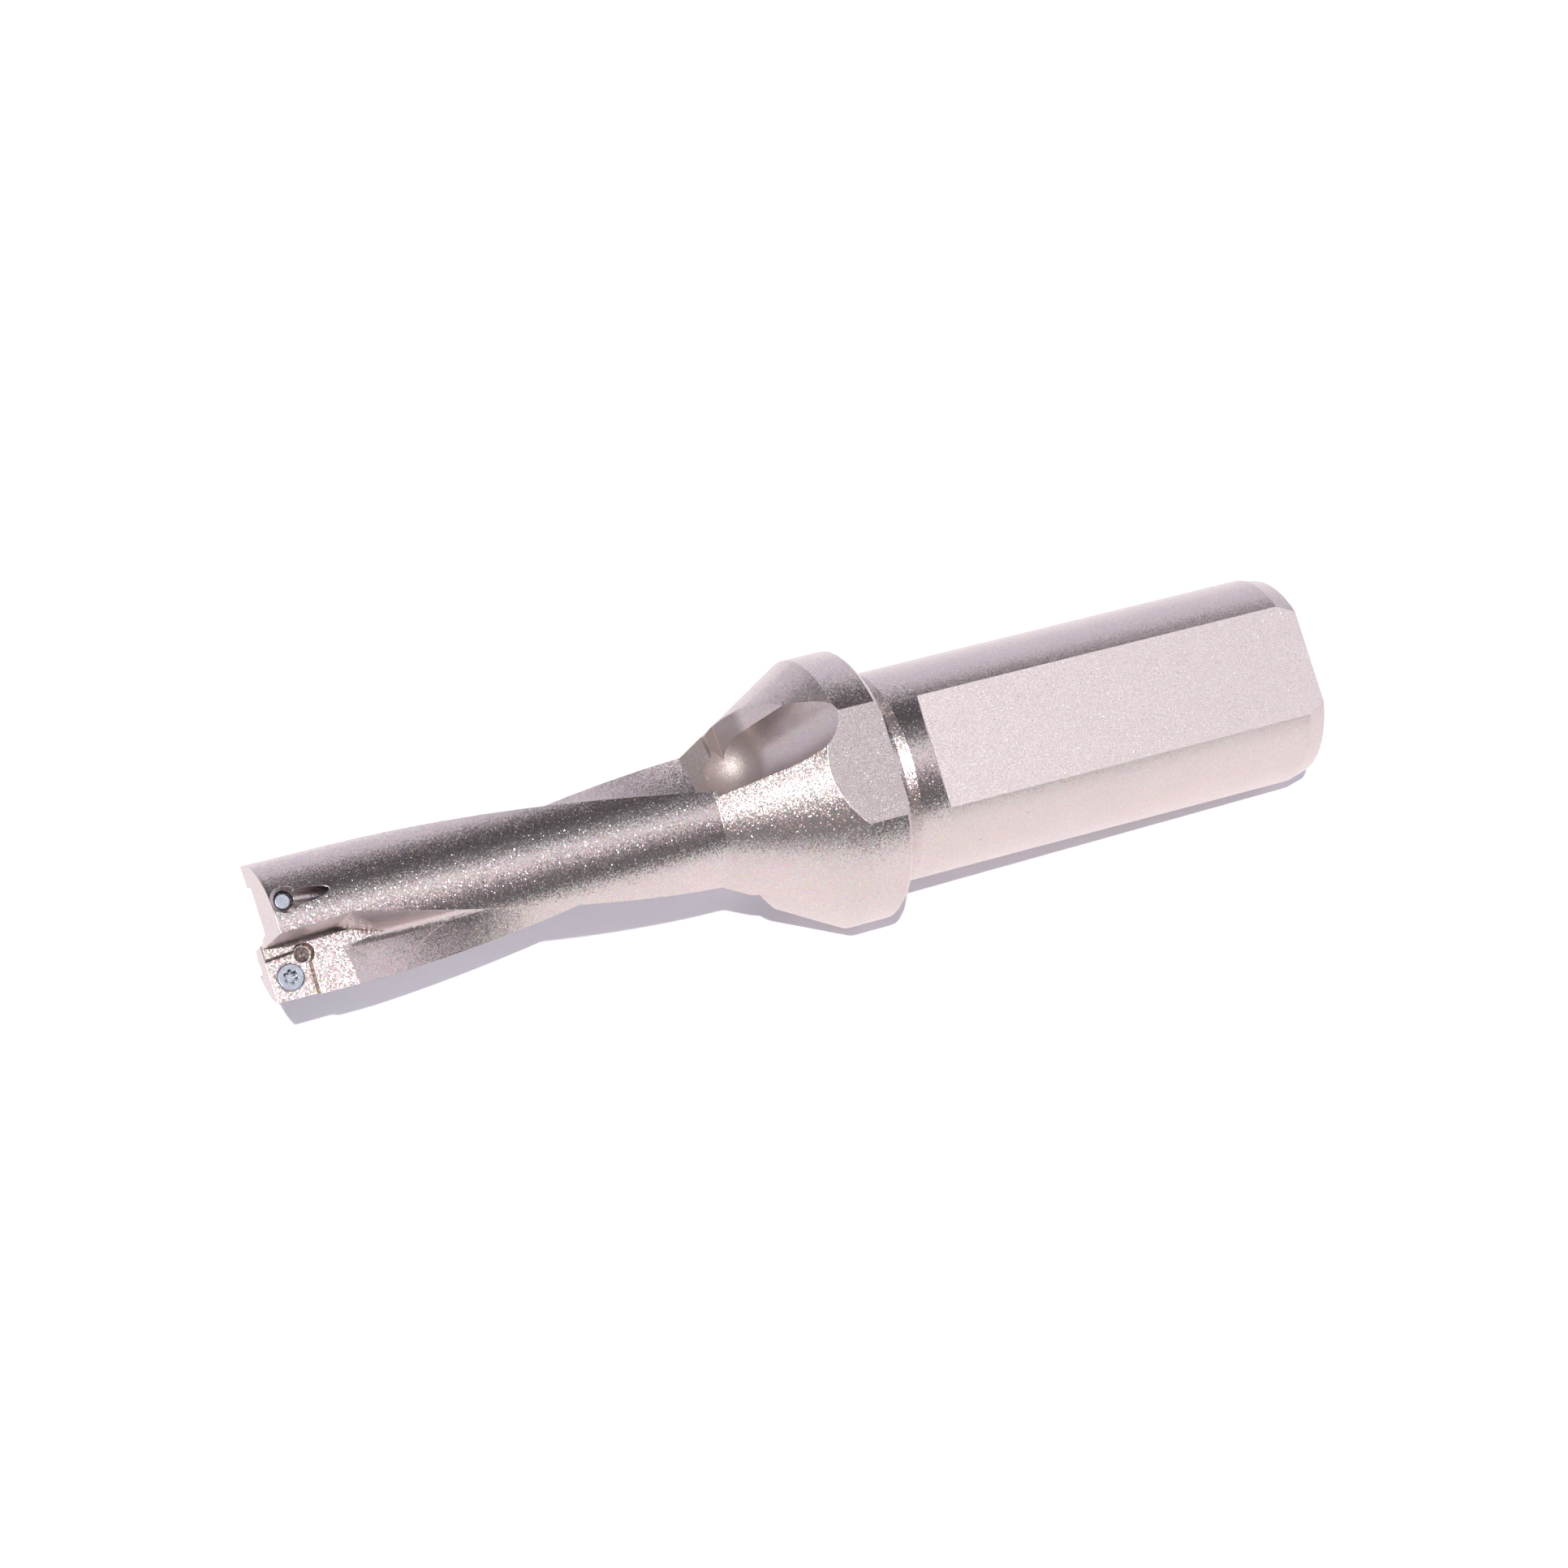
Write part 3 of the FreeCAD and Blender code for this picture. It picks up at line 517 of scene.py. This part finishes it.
class DRILL_OT_screws(bpy.types.Operator):
    """Give both clamp screws their finish"""
    bl_idname = "drill.screws"
    bl_label = "Clamp screws"

    def execute(self, context):
        material = screw_steel()
        for node in ("peripheral_screw", "central_screw"):
            repaint(node, material)
        return {"FINISHED"}


# ---------------------------------------------------------------- stage

# Up from the table that the drill lies on, and the way to the key light
TABLE_UP = Vector((0.6477, -0.7592, 0.0643)).normalized()
TO_LAMP = Vector((0.0473, -0.9553, 0.2918)).normalized()
LAMP_WIDTH = math.radians(1.0)

# The camera's right and backward directions, its place and its lens in millimetres
CAMERA_RIGHT = Vector((-0.288718, -0.296438, -0.910366)).normalized()
CAMERA_BACK = Vector((-0.128234, -0.930318, 0.343604))
CAMERA_PLACE = Vector((-62.2048, -466.3084, 236.6949))
LENS_LENGTH = 99.2409
SENSOR_WIDTH = 36.0

# Bright patches of the surroundings: the way to each one's middle, and the cosines at
# which its soft edge begins and ends
BACKDROP = (-CAMERA_BACK, 0.10, 0.18)
REAR_WALL = (Vector((0.0, -0.50, -0.866)).normalized(), 0.82, 0.90)
TIP_WALL = (-CAMERA_RIGHT, 0.70, 0.85)
FRONT_WINDOW = (Vector((0.08, -0.93, -0.36)).normalized(), 0.960, 0.988)
SIDE_WINDOW = (Vector((0.93, -0.34, 0.12)).normalized(), 0.976, 0.992)
# The backdrop grows dimmer towards the tip's side
DIM_SIDE = (-CAMERA_RIGHT, 0.0, 0.9)
DIM_SHARE = 0.78
FRONT_WINDOW_SHARE = 0.5
WINDOW_TINT = (1.0, 0.98, 1.0)

# Light of the table top itself, where it is looked at and where the steel mirrors it
TABLE_GLOW_DARK = (0.215, 0.20, 0.24)
TABLE_GLOW_LIGHT = (0.26, 0.245, 0.285)
TABLE_MIRRORED = (0.30, 0.28, 0.27)


def table_material(studio):
    """Matt white table that keeps the drill's shadow and is clear from below."""
    n = Surface("table_top")
    light_path = n.add("ShaderNodeLightPath")
    looked_at = light_path.outputs["Is Camera Ray"]
    mirrored = light_path.outputs["Is Glossy Ray"]
    paper = n.add("ShaderNodeBsdfDiffuse")
    n.link(tuple(studio.table_color), paper.inputs["Color"])
    glow = n.add("ShaderNodeEmission")
    shade = n.mix(n.noise(0.9), TABLE_GLOW_DARK, TABLE_GLOW_LIGHT)
    n.link(n.mix(mirrored, shade, TABLE_MIRRORED), glow.inputs["Color"])
    n.link(n.larger(looked_at, mirrored), glow.inputs["Strength"])
    both = n.add("ShaderNodeAddShader")
    n.link(paper.outputs[0], both.inputs[0])
    n.link(glow.outputs[0], both.inputs[1])
    clear = n.add("ShaderNodeBsdfTransparent")
    geometry = n.add("ShaderNodeNewGeometry")
    seen_from_below = n.product(looked_at, geometry.outputs["Backfacing"])
    choice = n.add("ShaderNodeMixShader")
    n.link(seen_from_below, choice.inputs[0])
    n.link(both.outputs[0], choice.inputs[1])
    n.link(clear.outputs[0], choice.inputs[2])
    n.link(choice.outputs[0], n.output.inputs["Surface"])
    return n.material


def light_world(scene, studio):
    """White backdrop behind the drill, a dim room in front, white where it is looked at."""
    world = bpy.data.worlds.new("studio")
    scene.world = world
    world.use_nodes = True
    n = Nodes(world.node_tree)
    sky = n.tree.nodes["Background"]
    way = n.add("ShaderNodeTexCoord").outputs["Generated"]

    def patch(middle, edge, full):
        """1 in a patch of the surroundings and 0 outside it."""
        return n.step(n.vector("DOT_PRODUCT", way, middle), edge, full)

    backdrop = tuple(studio.surround_color)
    dimmed = tuple(DIM_SHARE * part for part in backdrop)
    window = tuple(studio.window_strength * part for part in WINDOW_TINT)
    lit = n.larger(patch(*BACKDROP), n.larger(patch(*REAR_WALL), patch(*TIP_WALL)))
    walls = n.mix(patch(*DIM_SIDE), backdrop, dimmed)
    light = n.mix(lit, tuple(studio.room_color), walls)
    front = n.product(patch(*FRONT_WINDOW), FRONT_WINDOW_SHARE)
    light = n.mix(n.larger(front, patch(*SIDE_WINDOW)), light, window)
    looked_at = n.add("ShaderNodeLightPath").outputs["Is Camera Ray"]
    n.link(n.mix(looked_at, light, (1.0, 1.0, 1.0)), sky.inputs["Color"])
    sky.inputs["Strength"].default_value = 1.0


def add_object(scene, name, data):
    """New object in the scene."""
    thing = bpy.data.objects.new(name, data)
    scene.collection.objects.link(thing)
    return thing


def lay_table(scene, studio):
    """Flat sheet under the drill, which touches it along its lowest line."""
    along = (Vector((0, 0, 1)) - TABLE_UP * TABLE_UP.z).normalized()
    side = along.cross(TABLE_UP)
    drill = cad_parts["drill_body"].data.vertices
    touch = TABLE_UP * min(corner.co.dot(TABLE_UP) for corner in drill)
    reach = studio.table_reach
    front = -studio.table_front
    corners = ((-reach, front), (reach, front), (reach, reach), (-reach, reach))
    mesh = bpy.data.meshes.new("table_top")
    mesh.from_pydata([touch + along * a + side * b for a, b in corners], [], [(0, 1, 2, 3)])
    if mesh.polygons[0].normal.dot(TABLE_UP) < 0:
        mesh.flip_normals()
    mesh.materials.append(table_material(studio))
    add_object(scene, "table_top", mesh)


def place_camera(scene):
    """Camera on the flats' side, a little beyond the tip."""
    lens = bpy.data.cameras.new("camera")
    lens.sensor_width = SENSOR_WIDTH
    lens.lens = LENS_LENGTH
    camera = add_object(scene, "camera", lens)
    back = (CAMERA_BACK - CAMERA_RIGHT * CAMERA_RIGHT.dot(CAMERA_BACK)).normalized()
    turn = Matrix((CAMERA_RIGHT, back.cross(CAMERA_RIGHT), back)).transposed().to_4x4()
    camera.matrix_world = Matrix.Translation(CAMERA_PLACE * MM) @ turn
    scene.camera = camera


def hang_lamp(scene, studio):
    """Small key light, far away on the flats' side."""
    lamp = bpy.data.lights.new("key_light", "SUN")
    lamp.energy = studio.lamp_strength
    lamp.angle = LAMP_WIDTH
    key = add_object(scene, "key_light", lamp)
    key.rotation_euler = TO_LAMP.to_track_quat("Z", "Y").to_euler()


class DRILL_OT_stage(bpy.types.Operator):
    """Table top, camera, key light and surroundings"""
    bl_idname = "drill.stage"
    bl_label = "Stage"

    def execute(self, context):
        scene = context.scene
        studio = scene.drill_studio
        lay_table(scene, studio)
        place_camera(scene)
        hang_lamp(scene, studio)
        light_world(scene, studio)
        scene.view_settings.view_transform = "Standard"
        return {"FINISHED"}


# ---------------------------------------------------------------- panel

class DRILL_PT_sidebar(bpy.types.Panel):
    """Finishes, pieces and stage of the drill"""
    bl_idname = "DRILL_PT_sidebar"
    bl_label = "Indexable insert drill"
    bl_space_type = "VIEW_3D"
    bl_region_type = "UI"
    bl_category = "Drill"

    def draw(self, context):
        column = self.layout.column()
        for group in (context.scene.drill_finish, context.scene.drill_studio):
            for key in group.bl_rna.properties.keys():
                if key not in ("rna_type", "name"):
                    column.prop(group, key)
        for operator in OPERATORS:
            column.operator(operator.bl_idname)


OPERATORS = (DRILL_OT_body, DRILL_OT_screws, DRILL_OT_stage)
CLASSES = (DrillFinish, DrillStudio, *OPERATORS, DRILL_PT_sidebar)


def register():
    for item in CLASSES:
        bpy.utils.register_class(item)
    bpy.types.Scene.drill_finish = bpy.props.PointerProperty(type=DrillFinish)
    bpy.types.Scene.drill_studio = bpy.props.PointerProperty(type=DrillStudio)


def unregister():
    del bpy.types.Scene.drill_studio
    del bpy.types.Scene.drill_finish
    for item in reversed(CLASSES):
        bpy.utils.unregister_class(item)


def main():
    register()
    bpy.ops.drill.body()
    bpy.ops.drill.screws()
    bpy.ops.drill.stage()


if __name__ == "__main__":
    main()
